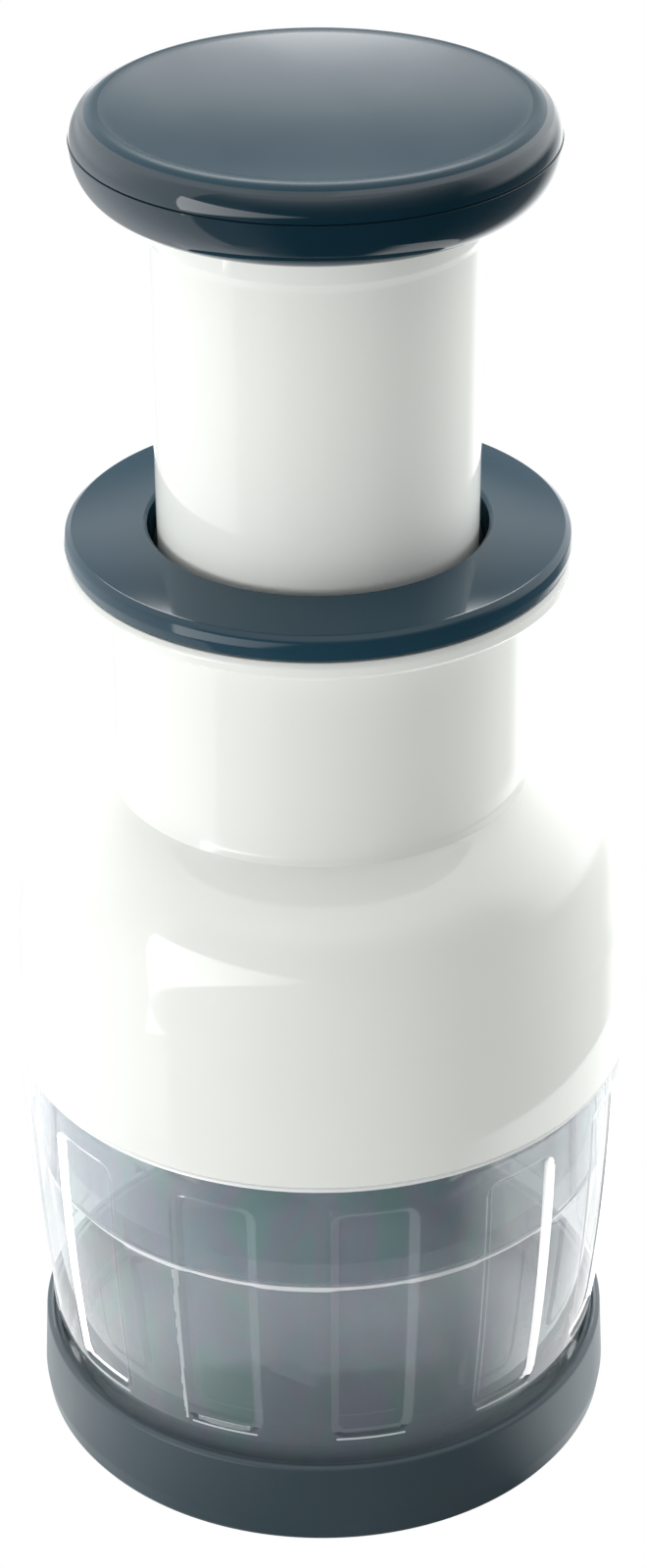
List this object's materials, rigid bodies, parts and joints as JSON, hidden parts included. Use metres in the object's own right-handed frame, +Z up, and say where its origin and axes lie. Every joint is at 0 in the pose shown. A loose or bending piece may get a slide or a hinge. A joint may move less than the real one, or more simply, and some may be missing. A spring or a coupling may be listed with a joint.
{
  "type": "vegetable chopper",
  "caption": "Press-down vegetable chopper: palm knob on a sprung plunger, white shouldered housing, clear panelled container and dark base cap, with zigzag blades inside.",
  "frame": {"origin": "centre of the base cap's underside, on the table", "axes": "+Z up along the plunger, -Y towards the viewer of the picture, +X to the right"},
  "size_m": [0.092, 0.092, 0.211],
  "materials": {
    "matte_teal": "matte slate teal moulding",
    "gloss_teal": "polished dark slate teal moulding",
    "satin_teal": "satin slate teal moulding",
    "white_gloss": "polished white moulding",
    "clear_plastic": "clear styrene moulding",
    "natural_plastic": "natural white slippery plastic",
    "blade_steel": "folded stainless strip with a ground edge",
    "spring_steel": "drawn stainless wire",
    "screw_steel": "plain stainless screw"
  },
  "bodies": {
    "base": {"base_cap": "matte_teal"},
    "container": {"container": "clear_plastic"},
    "housing": {"housing": "white_gloss", "collar_ring": "gloss_teal", "guide_bush": "natural_plastic"},
    "guard": {"blade_guard": "clear_plastic", "guard_column": "natural_plastic", "main_spring": "spring_steel"},
    "plunger": {"plunger_tube": "white_gloss", "spring_cap": "natural_plastic", "blade_holder": "natural_plastic", "blade_clamp": "natural_plastic", "blade_row_back": "blade_steel", "blade_row_front": "blade_steel", "blade_side_right": "blade_steel", "blade_side_left": "blade_steel", "knob_base": "gloss_teal", "knob_cap": "satin_teal", "clamp_screw_1": "screw_steel", "clamp_screw_2": "screw_steel", "clamp_screw_3": "screw_steel", "knob_screw_1": "screw_steel", "knob_screw_2": "screw_steel", "knob_screw_3": "screw_steel"}
  },
  "joints": [
    {"name": "container_lift", "type": "slide", "parent": "base", "child": "container", "axis": [0, 0, 1], "range_m": [0, 0.04]},
    {"name": "housing_lift", "type": "slide", "parent": "container", "child": "housing", "axis": [0, 0, 1], "range_m": [0, 0.06]},
    {"name": "blade_turn", "type": "hinge", "parent": "housing", "child": "guard", "pos_m": [0, 0, 0.08], "axis": [0, 0, 1], "continuous": true},
    {"name": "press", "type": "slide", "parent": "guard", "child": "plunger", "axis": [0, 0, -1], "range_m": [0, 0.046], "stiffness_N_per_m": 400, "springref_m": -0.02, "deforming": ["main_spring"]}
  ]
}
